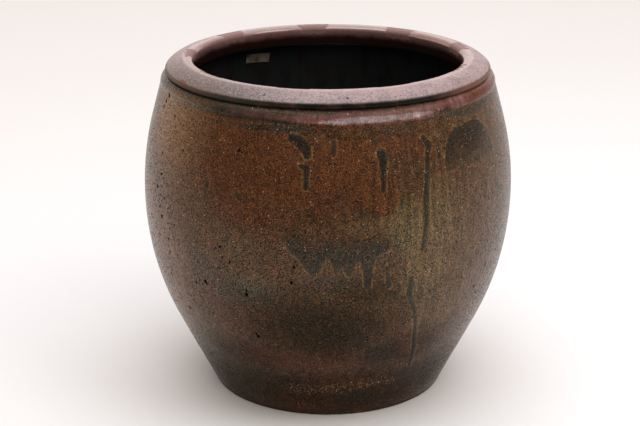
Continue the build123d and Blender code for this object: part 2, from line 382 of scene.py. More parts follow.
# Patches of each tone. The tones colour the glaze or quiet and rough it up; none of them moves the mesh
TONES = {
    "rust": patches(
        (-25, 398, 16, 20), (-16, 400, 10, 16), (-22, 362, 18, 30, 0.95), (-10, 352, 11, 26, 0.85),
        (-1.5, 372, 6, 34, 0.85), (7, 386, 9, 24, 0.8), (12, 350, 9, 28, 0.7), (16.8, 330, 4, 16),
        (22, 399, 8, 9, 0.7), (18, 267, 3, 13, 0.9), (-31, 325, 9, 30, 0.6), (-20, 290, 9, 14, 0.5),
        (-24, 312, 13, 20, 0.65), (-36, 265, 5, 10, 0.5), (28.8, 256, 2.2, 3, 0.7),
        (33.4, 382, 1.4, 9, 0.8), (28.5, 390, 1.6, 10, 0.7), (-30, 425, 9, 6, 0.7), (-5, 424, 10, 5, 0.6),
        (10, 425, 9, 6, 0.6), (-57, 395, 14, 30, 0.25), (-2, 330, 8, 18, 0.4),
    ),
    "olive": patches(
        (23, 292, 7, 44), (34, 300, 9, 60, 0.7), (30, 230, 11, 50, 0.75), (42, 250, 14, 80, 0.5),
        (52, 421, 14, 9, 0.5), (-28, 268, 9, 18, 0.45), (-23, 213, 8, 22, 0.75), (36, 180, 12, 50, 0.6),
        (52, 330, 10, 60, 0.3), (12, 300, 9, 16, 0.6), (-50, 110, 16, 24, 0.6), (2, 228, 14, 16, 0.35),
        (40, 405, 6, 14, 0.4),
    ),
    "teal": patches(
        (-19, 418, 10, 4.6), (-10, 421, 7, 5, 0.8), (-8, 272, 6, 16, 0.6), (3, 264, 10, 18, 0.7),
        (11, 262, 8, 18, 0.7), (-22, 262, 12, 24, 0.4), (-6, 165, 12, 22, 0.65), (4, 148, 15, 22, 0.75),
        (18, 108, 6, 16, 0.9), (-32, 58, 20, 14, 0.85), (-50, 36, 24, 24, 0.95), (-15, 54, 7, 11),
        (-41, 240, 7, 22, 0.45), (12, 34, 13, 11, 0.7), (-52, 262, 2, 28, 0.5), (-34, 232, 5, 14, 0.5),
        (22, 417, 8, 7, 0.5), (55, 423, 14, 8, 0.85), (40, 431, 4, 5, 0.8), (-46, 434, 26, 6.5, 0.95),
        (-26, 205, 16, 24, 0.7), (-38, 222, 10, 20, 0.6), (3, 225, 16, 14, 0.6), (16, 262, 9, 22, 0.6),
        (38, 58, 14, 24, 0.6), (36, 424, 6, 5, 0.6), (-58, 300, 8, 30, 0.2),
    ),
    "red": patches(
        (-55, 230, 12, 60, 0.5), (-60, 150, 12, 50, 0.6), (-33, 150, 12, 26, 0.6), (-20, 138, 9, 20, 0.6),
        (-19, 102, 15, 16, 0.9), (0, 95, 14, 13, 0.9), (-20, 15, 13, 11, 0.8), (38, 62, 7, 30, 0.7),
        (24, 150, 7, 20, 0.5), (13, 228, 6, 26, 0.45), (-3, 245, 6, 10, 0.35), (-12, 235, 5, 22, 0.5),
        (-42, 190, 8, 24, 0.5), (21, 230, 6, 20, 0.5), (4, 8, 4, 6, 0.6), (-46, 300, 8, 60, 0.4),
        (-16, 225, 4, 20, 0.3),
    ),
    "moss": patches(
        (6, 190, 30, 36, 0.8), (-4, 142, 26, 30, 0.7), (-44, 58, 26, 48), (-44, 18, 26, 24),
        (-30, 225, 14, 30, 0.5), (48, 100, 16, 60, 0.4),
    ),
    "tan": patches(
        (-66, 200, 17, 120), (74, 90, 18, 60, 0.9),
    ),
    "slate": patches(
        (-52, 435, 20, 9), (-32, 434, 13, 8.5), (-14, 439.5, 22, 3.6), (-14, 427.5, 9, 3, 0.6),
        (-80, 436, 16, 8, 0.6), (8, 440, 12, 2.8, 0.7),
    ),
    "brick": patches(
        (60, 437, 24, 9.5), (92, 438, 30, 10, 0.8),
    ),
    # Painted highlight along the neck's bead
    "lilac": patches(
        (14, 430.5, 12, 4.4, 0.9), (27, 430.5, 8, 3.8, 0.8), (3, 428.5, 6, 3.2, 0.7),
    ),
    "mauve": patches(
        (-24, 434, 13, 5.5, 0.45), (-6, 432.5, 12, 6, 0.7), (8, 433, 8, 8.5, 0.95), (20, 433, 11, 9.5),
        (31, 433, 7, 8.5, 0.9), (40, 437, 4, 6, 0.5), (47, 435, 7, 8, 0.65), (120, 436, 14, 5, 0.8),
        (160, 436, 16, 5, 0.8), (-110, 436, 18, 5, 0.7), (-150, 436, 14, 5, 0.8),
    ),
    "rilled": patches(
        (0, 230, 400, 400, 0.25), (34, 250, 20, 170), (18, 320, 8, 60, 0.8), (12, 225, 18, 60, 0.7),
        (60, 300, 20, 130, 0.8),
    ),
    "pitted": patches(
        (-70, 300, 16, 120, 0.6), (60, 210, 22, 70, 0.6), (-52, 330, 12, 60, 0.6), (72, 300, 12, 90, 0.6),
        (66, 180, 13, 90), (-64, 250, 17, 170), (-46, 200, 14, 60, 0.75), (56, 330, 14, 60, 0.4),
        (48, 60, 14, 60, 0.6), (-30, 230, 20, 50, 0.5), (150, 260, 40, 120, 0.5),
    ),
    # Thick pooled glaze low down, which also carries painted shade near the floor: it darkens the glaze and
    # cuts its reflection
    "deep": patches(
        (-4, 148, 27, 62), (0, 45, 400, 46), (10, 205, 14, 26, 0.7), (-30, 95, 26, 34, 0.9),
        (26, 108, 20, 36, 0.9), (36, 70, 20, 30, 0.7), (-50, 25, 26, 34),
        (-66, 28, 18, 36),
    ),
    # Dark glaze where it pooled; the patches low round the foot and at the lower left are painted shade
    # near the floor
    "dark": patches(
        (0, 12, 400, 26, 0.35), (-30, 55, 26, 15, 0.8), (4, 140, 16, 26, 0.5), (18, 107, 7, 16, 0.6),
        (-60, 30, 24, 20, 0.9), (66, 422, 16, 3.4, 0.8), (20, 20, 24, 18, 0.7), (-10, 30, 16, 16, 0.5),
        (50, 388, 8, 16, 0.8), (46, 372, 6, 10, 0.4), (-19, 418, 10, 4.2, 0.6), (8, 408, 6, 4, 0.5),
        (8.5, 396, 2.2, 4, 0.5), (48, 40, 12, 26, 0.5),
    ),
    # Drifts of pale crystals; the row along the neck's bead is a painted highlight of glints
    "splash": patches(
        (-10, 48, 9, 14), (3, 50, 11, 14), (14, 54, 9, 12), (24, 56, 7, 11, 0.95), (-15, 45, 6, 7, 0.9),
        (-17.3, 303, 1.6, 2.4), (-16.8, 312, 0.8, 2), (-12.4, 320, 2.2, 2.2), (-9.6, 321, 0.8, 1.8),
        (-6.7, 380, 1.8, 2.4), (-6.5, 270, 0.4, 10), (-12.4, 294, 0.9, 4, 0.9), (-0.8, 348, 0.7, 1.8),
        (29.2, 389, 0.7, 6, 0.9), (41.5, 30, 1.8, 13, 0.8), (-16.5, 340, 0.9, 3, 0.8),
        (-13.4, 393, 1.4, 2.6, 0.8), (-14.2, 380, 0.5, 1.5), (-9.9, 351, 0.9, 2, 0.8), (-2, 211, 1.6, 5),
        (-27.4, 387, 1.4, 3.6, 0.7), (20, 70, 0.6, 1.4), (-29, 197, 1.4, 3, 0.6),
        (28.6, 256, 1.3, 2.2, 0.9), (0, 424, 24, 4, 0.4), (13, 268, 3, 10, 0.25),
        (-23.4, 136, 0.8, 3, 0.8), (18, 428.2, 24, 2.8, 0.62),
    ),
}

# Burst bubbles and grit pulls, as azimuth, height in mm and radius in mm
PITS = (
    (-27.6, 388, 1.6), (-26.8, 386.4, 1.3), (-28.3, 386, 1.2), (-30.6, 393, 1.1),
    (-25.1, 199, 2.3), (-24.9, 205, 1.6), (-40.2, 204, 2.2), (-39.7, 201, 1.5),
    (-44.6, 197, 1.5), (-23.6, 135, 2.2), (-24.1, 139, 1.6), (-53, 148, 1.8),
    (-32.2, 247, 1.3), (-29.8, 241.6, 1.4), (-33.6, 230.6, 1.1), (-9.7, 246, 1.8), (-10.6, 224, 1.9),
    (-32.9, 260.5, 1.5), (-33.5, 265, 1), (-56.5, 245, 1.8), (-55, 262, 1.4),
    (-58, 300, 1.6), (-60.5, 330, 1.8), (-62, 356, 1.5), (-50, 371, 1.2),
    (-66, 428, 2.6), (-67.5, 419, 2.2), (-68.5, 411, 1.8), (-58.5, 408, 1.4),
    (-60, 272, 2.2), (-57, 225, 1.6), (-48, 168, 1.3), (-59, 192, 1.8),
    (-63, 310, 2), (-61, 285, 1.6), (53.5, 180, 1.6), (58, 206, 1.5), (50.5, 236, 1.2),
    (56, 168, 1.4), (28, 261, 1.1), (-12, 369, 1), (0.4, 378, 0.9), (14.9, 391, 0.9),
    (8, 8, 2.2), (-36, 4, 2),
)


class GlazeMap:
    """Where the outer glaze ran, pooled, broke and pitted, as fields over azimuth and height.

    A distance is in mm and is positive inside.
    """

    outside: float = -20.0
    faded: float = 0.02
    pit_squeeze: float = 0.75
    waves: int = 26
    most_turns: int = 8
    steepest: float = 42.0

    def __init__(self, seed: int = 11) -> None:
        """Draws the waves of the hand-beaten wall."""
        rng = np.random.default_rng(seed)
        self.turns = rng.integers(1, self.most_turns + 1, self.waves)
        self.rises = rng.uniform(-self.steepest, self.steepest, self.waves)
        self.phases = rng.uniform(0, 2 * math.pi, self.waves)

    @staticmethod
    def lay(azimuth: Array | float, height: Array | float) -> tuple[Array, Array]:
        """Azimuth as millimetres along the belly, and height in millimetres."""
        return np.radians(azimuth) * OUTLINE.belly_radius / MM, height / MM

    def throwing(self, azimuth: Array, height: Array) -> Array:
        """Slow in and out of the hand-beaten wall, between 0 and 1."""
        angle = np.radians(azimuth)[:, None] * self.turns + height[:, None] * self.rises + self.phases
        wave = np.cos(angle).sum(1) / math.sqrt(self.waves)
        return 0.5 + 0.5 * np.tanh(0.8 * wave)

    def thick_field(self, azimuth: Array, height: Array) -> Fields:
        """Distance into the nearest run or sheet of thick glaze, with its cover and relief."""
        along, up = self.lay(azimuth, height)
        nothing = np.zeros(len(along))
        best = (nothing + self.outside, nothing, nothing)
        for run in RUNS:
            inside = nothing + self.outside
            stations = [(*self.lay(angle, z * MM), half) for angle, z, half in run.stations]
            for start, end in zip(stations, stations[1:]):
                gap, share = from_segment(along, up, start[:2], end[:2])
                inside = np.maximum(inside, start[2] + (end[2] - start[2]) * share - gap)
            best = deeper(best, (inside, run.cover, run.relief))
        for sheet in SHEETS:
            fade = smooth_step(up, sheet.gone, sheet.full)
            inside = self.within(sheet, along, up)
            inside = np.where(fade < self.faded, np.minimum(inside, -2.0), inside)
            best = deeper(best, (inside, sheet.cover * fade, sheet.relief * fade))
        return best

    def within(self, sheet: Sheet, along: Array, up: Array) -> Array:
        """Distance into a sheet of glaze."""
        corners = [self.lay(angle, z * MM) for angle, z in sheet.corners]
        nearest = np.full(len(along), np.inf)
        inside = np.zeros(len(along), bool)
        for start, end in zip(corners, corners[1:] + corners[:1]):
            nearest = np.minimum(nearest, from_segment(along, up, start, end)[0])
            crosses = (start[1] > up) != (end[1] > up)
            rise = (end[1] - start[1]) or 1e-9
            inside ^= crosses & (along < start[0] + (up - start[1]) / rise * (end[0] - start[0]))
        return np.where(inside, nearest, -nearest)

    @staticmethod
    def tone_field(rows: tuple[Patch, ...], azimuth: Array, height: Array) -> Array:
        """Strongest of the soft patches at each point, between 0 and 1."""
        best = np.zeros(len(azimuth))
        for patch in rows:
            across = (azimuth - patch.azimuth) / patch.half_azimuth
            up = (height / MM - patch.height) / patch.half_height
            best = np.maximum(best, patch.strength * np.exp(-0.7 * (across ** 2 + up ** 2) ** 1.5))
        return best

    def pit_field(self, azimuth: Array, height: Array) -> Array:
        """Distance into the nearest pit."""
        along, up = self.lay(azimuth, height)
        best = np.full(len(along), self.outside)
        for angle, pit_height, radius in PITS:
            x, z = self.lay(angle, pit_height * MM)
            best = np.maximum(best, radius - np.hypot(along - x, (up - z) * self.pit_squeeze))
        return best


def from_segment(along: Array, up: Array, start: Point, end: Point) -> tuple[Array, Array]:
    """Distance of points from a segment, and the share of the segment where its nearest place lies."""
    (x0, z0), (x1, z1) = start, end
    length = (x1 - x0) ** 2 + (z1 - z0) ** 2
    share = np.clip(((along - x0) * (x1 - x0) + (up - z0) * (z1 - z0)) / length, 0, 1)
    return np.hypot(along - x0 - share * (x1 - x0), up - z0 - share * (z1 - z0)), share


def deeper(best: Fields, found: tuple[Array, Array | float, Array | float]) -> Fields:
    """Distance, cover and relief, from the second set wherever it lies deeper than the first."""
    better = found[0] > best[0]
    return tuple(np.where(better, new, old) for new, old in zip(found, best))


def smooth_step(values: Array, low: float, high: float) -> Array:
    """Smooth ramp from 0 at low to 1 at high."""
    share = np.clip((values - low) / (high - low), 0, 1)
    return share * share * (3 - 2 * share)


# Mesh helpers


def wrapped_coat(name: str, skin: list[Point], back: list[Point], steps: int) -> bpy.types.Object:
    """Wraps a fine grid once round the vat's axis into a closed coat of the given section.

    A spin slows with the square of its steps, so a grid takes its place. Each vertex keeps how
    far it lies along the visible skin, in mm, as "travel", and whether it is on it, as "skin".

    Args:
        name: The piece's name.
        skin: Points of the visible side, as radius and height.
        back: Points of the hidden side, in the same direction.
        steps: Number of steps of the full turn.

    Returns:
        The new object, smooth-shaded, with its mesh in place.
    """
    loop = skin + back[::-1]
    gone = [0.0]
    for start, end in zip(loop, loop[1:]):
        gone.append(gone[-1] + math.dist(start, end) / MM)
    coat = bmesh.new()
    bmesh.ops.create_grid(coat, x_segments=steps, y_segments=len(loop), size=1.0)
    travel = coat.verts.layers.float.new("travel")
    seen = coat.verts.layers.float.new("skin")
    for vert in coat.verts:
        turn = math.pi * vert.co.x
        place = round((vert.co.y + 1) / 2 * len(loop)) % len(loop)
        radius, z = loop[place]
        vert[travel] = gone[place]
        vert[seen] = float(place < len(skin))
        vert.co = (radius * math.sin(turn), -radius * math.cos(turn), z)
    bmesh.ops.remove_doubles(coat, verts=coat.verts, dist=WELD)
    return finished(name, coat)


def finished(name: str, shape: bmesh.types.BMesh) -> bpy.types.Object:
    """Writes a bmesh to a new smooth-shaded object in the scene and frees it."""
    bmesh.ops.recalc_face_normals(shape, faces=shape.faces)
    for face in shape.faces:
        face.smooth = True
    mesh = bpy.data.meshes.new(name)
    shape.to_mesh(mesh)
    shape.free()
    piece = bpy.data.objects.new(name, mesh)
    bpy.context.scene.collection.objects.link(piece)
    return piece


def sunk(points: list[Point], depth: float) -> list[Point]:
    """Points of a section moved square to it, to the left of its way."""
    corners = np.array(points)
    along = np.gradient(corners, axis=0)
    along /= np.linalg.norm(along, axis=1)[:, None]
    moved = corners + depth * np.column_stack((-along[:, 1], along[:, 0]))
    return [(float(radius), float(z)) for radius, z in moved]


def crease(piece: bpy.types.Object, angle: float = 50.0) -> None:
    """Stops the smooth shading at edges sharper than an angle in degrees."""
    shaped = bmesh.new()
    shaped.from_mesh(piece.data)
    for edge in shaped.edges:
        edge.smooth = edge.calc_face_angle(0.0) < math.radians(angle)
    shaped.to_mesh(piece.data)
    shaped.free()


def places(mesh: bpy.types.Mesh) -> tuple[Array, Array, Array, Array]:
    """Coordinates and vertex normals of a mesh, with each vertex's azimuth and height."""
    count = len(mesh.vertices)
    points = np.empty(count * 3)
    normals = np.empty(count * 3)
    mesh.vertices.foreach_get("co", points)
    mesh.vertex_normals.foreach_get("vector", normals)
    points = points.reshape(-1, 3)
    azimuth = np.degrees(np.arctan2(points[:, 0], -points[:, 1]))
    return points, normals.reshape(-1, 3), azimuth, points[:, 2].copy()


def store(mesh: bpy.types.Mesh, **fields: Array) -> None:
    """Keeps one number, or one vector, for each vertex under each of the given names."""
    for name, values in fields.items():
        kind, key = ("FLOAT_VECTOR", "vector") if values.ndim == 2 else ("FLOAT", "value")
        mesh.attributes.new(name, kind, "POINT").data.foreach_set(key, values.astype(np.float32).ravel())


def move(mesh: bpy.types.Mesh, points: Array) -> None:
    """Puts the vertices at new places."""
    mesh.vertices.foreach_set("co", points.ravel())
    mesh.update()


def kept(mesh: bpy.types.Mesh, name: str) -> Array:
    """Values of a one-number attribute of the vertices."""
    values = np.empty(len(mesh.vertices), np.float32)
    mesh.attributes[name].data.foreach_get("value", values)
    return values.astype(float)


def dress(piece: bpy.types.Object, material: bpy.types.Material, slot: Slot, *nodes: str) -> None:
    """Gives a new piece its finish and its body, and hides the CAD nodes that it stands for."""
    piece.data.materials.append(material)
    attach(piece, BODY)
    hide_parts(*nodes)
    log.info("%s: %d faces", piece.name, len(piece.data.polygons))


# Finishes


class Finish:
    """A named node material, built once."""

    name: str

    def paint(self, new: Adder, place: Socket) -> Socket:
        """Builds the nodes and returns the surface shader.

        Args:
            new: Adds a node to the material.
            place: Object coordinates.

        Returns:
            The shader's socket.
        """
        raise NotImplementedError

    def build(self) -> bpy.types.Material:
        """Makes the material, or returns it if it has been made."""
        if self.name in bpy.data.materials:
            return bpy.data.materials[self.name]
        material = bpy.data.materials.new(self.name)
        material.use_nodes = True
        material.node_tree.nodes.clear()
        new = partial(add, material.node_tree)
        new("OutputMaterial", self.paint(new, new("TexCoord", out=3)))
        return material


@dataclass(frozen=True)
class Layer:
    """One tone of the outer glaze, laid where its attribute and a noise allow it.

    A calm layer quiets the specks that lie over it.
    """

    tone: str
    colour: str
    grain: int
    reach: float
    low: float = 0.25
    high: float = 0.8
    strength: float = 1.0
    calm: bool = False


@dataclass(frozen=True)
class PouredAshGlaze(Finish):
    """Iron-bearing ash glaze, poured on and wood-fired.

    The eye gets a satin gloss, a close peppering of teal-black iron and rusty embers, upright rills
    where the glaze crept, olive and teal where it pooled, burst bubbles and golden crystals.
    The peppering is drawn at about one and a half times its real grain so that it reads from across a room.
    """

    name: str = "poured_iron_ash_glaze"
    ground: str = "#4f3827"
    ground_pale: str = "#6f5239"
    ground_dark: str = "#2f241b"
    pepper: str = "#141713"
    ember: str = "#9b5b31"
    straw: str = "#a98d5c"
    verdigris: str = "#4a6058"
    sparkle: str = "#e0b88f"
    run: str = "#18211f"
    run_core: str = "#0d1716"
    hem: str = "#94703f"
    pit: str = "#0d0907"
    gloss: str = "#ffe2c4"
    rill_width: float = 4.0 * MM
    streak_width: float = 14.0 * MM
    cloud_width: float = 26.0 * MM
    patch_width: float = 26.0 / 3 * MM
    grain_width: float = 1.8 * MM
    fleck_width: float = 1.6 * MM
    bloom_width: float = 2.08 * MM
    spark_pitch: float = 5.0 * MM
    pit_pitch: float = 5.0 * MM
    relief: float = 1.0 * MM
    # Heights of the painted shade under the rim's overhang
    rim_shade_low: float = OUTLINE.groove_height - 6.5 * MM
    rim_shade_high: float = OUTLINE.groove_height + 3.0 * MM
    rim_shade_sway: float = 6.0 * MM
    ior: float = 1.46
    layers: tuple[Layer, ...] = (
        Layer("red", "#63382a", 1, 0.7, 0.2, 0.9, 0.8),
        Layer("olive", "#776141", 0, 0.6, 0.15, 0.85, 0.9),
        Layer("rust", "#673b21", 2, 0.9, 0.2, 0.75, 0.95),
        Layer("teal", "#303b37", 1, 0.7, 0.2, 0.75, 0.9),
        Layer("dark", "#17140e", 2, 0.6, 0.2, 0.8, 0.85),
        Layer("tan", "#967058", 1, 0.6, 0.2, 0.85, 0.7),
        Layer("moss", "#43412f", 0, 0.6, 0.2, 0.85, 0.75),
        Layer("slate", "#2a2c26", 1, 0.5, 0.15, 0.6, 0.95, True),
        Layer("brick", "#6d3d31", 1, 0.4, 0.2, 0.7, 0.92, True),
        Layer("mauve", "#8a5f5d", 1, 0.5, 0.2, 0.7, 0.92, True),
        # Painted highlight on the neck's bead
        Layer("lilac", "#bba7a6", 2, 0.9, 0.2, 0.8, 0.9),
    )

    def paint(self, new: Adder, place: Socket) -> Socket:
        """Builds the nodes and returns the surface shader."""
        lay = new("Attribute", attribute_name="lay", out=1)
        kept_names = (*TONES, "edge", "cover", "pit")
        tone = {name: new("Attribute", attribute_name=name, out=2) for name in kept_names}
        upright = new("Mapping", lay, Scale=(1.0, 1.0, 0.07))
        rill, streak, cloud, patch, grain, fleck, bloom = (
            new("TexNoise", source, 1 / width, detail, roughness) for source, width, detail, roughness in (
                (upright, self.rill_width, 3.0, 0.6), (upright, self.streak_width, 3.0, 0.55),
                (place, self.cloud_width, 4.0, 0.6), (place, self.patch_width, 4.0, 0.65),
                (place, self.grain_width, 2.0, 0.75), (place, self.fleck_width, 1.0, 0.5),
                (lay, self.bloom_width, 2.0, 0.6),
            )
        )

        # Ground: dark and pale browns, mottled
        mottle = new("Math", patch, 0.9, cloud, operation="MULTIPLY_ADD")
        pale = new("MapRange", mottle, 0.75, 1.15)
        base = new("Mix", pale, self.ground_dark, self.ground_pale, data_type="RGBA")
        base = new("Mix", 0.4, base, self.ground, data_type="RGBA")

        # Tones where the glaze lay thin, pooled or flashed
        calm = 0.0
        for layer in self.layers:
            source = (cloud, patch, grain)[layer.grain]
            ragged = new("Math", source, layer.reach, tone[layer.tone], operation="MULTIPLY_ADD")
            middle = 0.5 * layer.reach
            mask = new("MapRange", ragged, middle + layer.low, middle + layer.high, 0.0, layer.strength,
                       interpolation_type="SMOOTHSTEP")
            base = new("Mix", mask, base, layer.colour, data_type="RGBA")
            if layer.calm:
                calm = new("Math", calm, mask, operation="MAXIMUM")

        # Painted shade on the neck where it hides under the rim's overhang, darkest at the groove
        up = new("SeparateXYZ", place, out=2)
        rim_shade = new("Math", patch, self.rim_shade_sway, up, operation="MULTIPLY_ADD")
        rim_shade = new("MapRange", rim_shade, self.rim_shade_low, self.rim_shade_high, 0.0, 0.9)
        shown = new("MapRange", tone["brick"], 0.0, 1.0, 1.0, 0.08)
        rim_shade = new("Math", rim_shade, shown, operation="MULTIPLY")
        base = new("Mix", rim_shade, base, self.pepper, data_type="RGBA")

        # Broad flows and clouds, and upright hairs where the glaze crept; darker low down, partly thick
        # pooled glaze and partly painted shade near the floor
        sway = new("Math", rill, 0.5, operation="SUBTRACT")
        sway = new("Math", sway, tone["rilled"], operation="MULTIPLY")
        level = new("MapRange", sway, -0.12, 0.12, 0.5, 1.5)
        broad = new("MapRange", streak, 0.3, 0.7, 0.86, 1.14)
        mottled = new("MapRange", patch, 0.32, 0.68, 0.66, 1.34)
        low_pool_and_shade = new("MapRange", tone["deep"], 0.0, 1.0, 0.8, 0.4)
        for share in (broad, mottled, low_pool_and_shade):
            level = new("Math", level, share, operation="MULTIPLY")
        base = new("VectorMath", base, level, operation="SCALE")

        # Embers in the rust, straw in the olive, green bloom in the teal, then teal-black pepper
        lively = new("MapRange", calm, 0.0, 1.0, 1.0, 0.25)
        warm = new("MapRange", tone["olive"], 0.45, 0.95)
        warm = new("Mix", warm, self.ember, self.straw, data_type="RGBA")
        warm = new("VectorMath", warm, low_pool_and_shade, operation="SCALE")
        lit = new("MapRange", fleck, 0.5, 0.64, 0.0, 0.82)
        cool = new("Math", tone["teal"], tone["olive"], operation="MAXIMUM")
        cool = new("MapRange", cool, 0.0, 1.0, 0.18, 0.75)
        green = new("MapRange", bloom, 0.52, 0.66)
        green = new("Math", green, cool, operation="MULTIPLY")
        cold = new("VectorMath", self.verdigris, low_pool_and_shade, operation="SCALE")
        dark = new("MapRange", grain, 0.51, 0.41, 0.0, 0.95)
        for mask, colour in ((lit, warm), (green, cold), (dark, self.pepper)):
            shown = new("Math", mask, lively, operation="MULTIPLY")
            base = new("Mix", shown, base, colour, data_type="RGBA")
        peppered = shown

        # Thick runs, the curtain and the arch, with their thin broken hem
        shaken = new("Math", grain, 7.0, tone["edge"], operation="MULTIPLY_ADD")
        shaken = new("Math", patch, 8.0, shaken, operation="MULTIPLY_ADD")
        inside, core, rim = (
            new("MapRange", shaken, low, high, interpolation_type="SMOOTHSTEP")
            for low, high in ((6.6, 8.6), (8.2, 11.0), (4.9, 6.8))
        )
        rim = new("Math", rim, inside, operation="SUBTRACT")
        broken = new("MapRange", patch, 0.4, 0.6, 0.0, 0.65)
        for share in (broken, tone["cover"]):
            rim = new("Math", rim, share, operation="MULTIPLY")
        base = new("Mix", rim, base, self.hem, data_type="RGBA")
        thick = new("Mix", core, self.run, self.run_core, data_type="RGBA")
        misted = new("MapRange", bloom, 0.54, 0.66, 0.0, 0.45)
        thick = new("Mix", misted, thick, cold, data_type="RGBA")
        thick = new("VectorMath", thick, mottled, operation="SCALE")
        thick = new("Mix", 0.12, thick, base, data_type="RGBA")
        inner = new("MapRange", tone["edge"], 9.0, 22.0, 1.0, 0.55)
        flecked = new("MapRange", fleck, 0.68, 0.56, 0.65, 1.0)
        covered = inside
        for share in (tone["cover"], inner, flecked):
            covered = new("Math", covered, share, operation="MULTIPLY")
        base = new("Mix", covered, base, thick, data_type="RGBA")

        # Pale crystals: strewn sparks, and drifts where the map has them; the drift along the neck's bead
        # is a painted highlight of glints
        spark = new("TexVoronoi", place, 1 / self.spark_pitch, Randomness=1.0)
        spark = new("MapRange", spark, 0.15, 0.1, 0.0, 0.65)
        drift = new("MapRange", patch, 0.46, 0.58)
        few = new("MapRange", tone["deep"], 0.0, 1.0, 1.0, 0.3)
        for share in (drift, few):
            spark = new("Math", spark, share, operation="MULTIPLY")
        strewn = new("Math", tone["splash"], 0.22, bloom, operation="MULTIPLY_ADD")
        strewn = new("MapRange", strewn, 0.8, 0.88, 0.0, 0.6)
        spark = new("Math", spark, strewn, operation="MAXIMUM")
        glow = new("VectorMath", self.sparkle, mottled, operation="SCALE")
        base = new("Mix", spark, base, glow, data_type="RGBA")

        # Burst bubbles and grit
        hole = new("MapRange", tone["pit"], -0.5, 0.4, interpolation_type="SMOOTHSTEP")
        tall = new("Mapping", lay, Scale=(1.0, 1.0, 0.7))
        dot = new("TexVoronoi", tall, 1 / self.pit_pitch, Randomness=1.0)
        dot = new("Math", tone["pitted"], -0.15, dot, operation="MULTIPLY_ADD")
        dot = new("MapRange", dot, 0.08, 0.05)
        hole = new("Math", hole, dot, operation="MAXIMUM")
        base = new("Mix", hole, base, self.pit, data_type="RGBA")

        # Satin where rusty, glossy where it ran thick, dull on the pepper; the reflection is cut low down,
        # partly for pooled glaze and partly as painted shade near the floor, and under the rim as painted
        # shade
        rough = new("MapRange", patch, 0.3, 0.7, 0.13, 0.22)
        for mask, more in ((tone["rust"], 0.08), (covered, -0.06), (hole, 0.3), (peppered, 0.4)):
            rough = new("Math", mask, more, rough, operation="MULTIPLY_ADD")
        shine = new("MapRange", grain, 0.36, 0.62, 0.06, 0.82)
        dull = new("MapRange", tone["deep"], 0.0, 1.0, 1.0, 0.14)
        matte = new("MapRange", tone["brick"], 0.0, 1.0, 1.0, 0.3)
        under = new("Math", 1.0, rim_shade, operation="SUBTRACT")
        whole = new("Math", 1.0, hole, operation="SUBTRACT")
        for share in (dull, matte, under, whole):
            shine = new("Math", shine, share, operation="MULTIPLY")
        height = new("Math", sway, 0.35, operation="MULTIPLY")
        for mask, more in ((grain, 0.4), (patch, 0.5), (hole, -0.5)):
            height = new("Math", mask, more, height, operation="MULTIPLY_ADD")
        bump = new("Bump", 0.75, self.relief, Height=height)
        return new("BsdfPrincipled", base, Roughness=rough, IOR=self.ior, Specular_IOR_Level=shine,
                   Specular_Tint=self.gloss, Normal=bump)


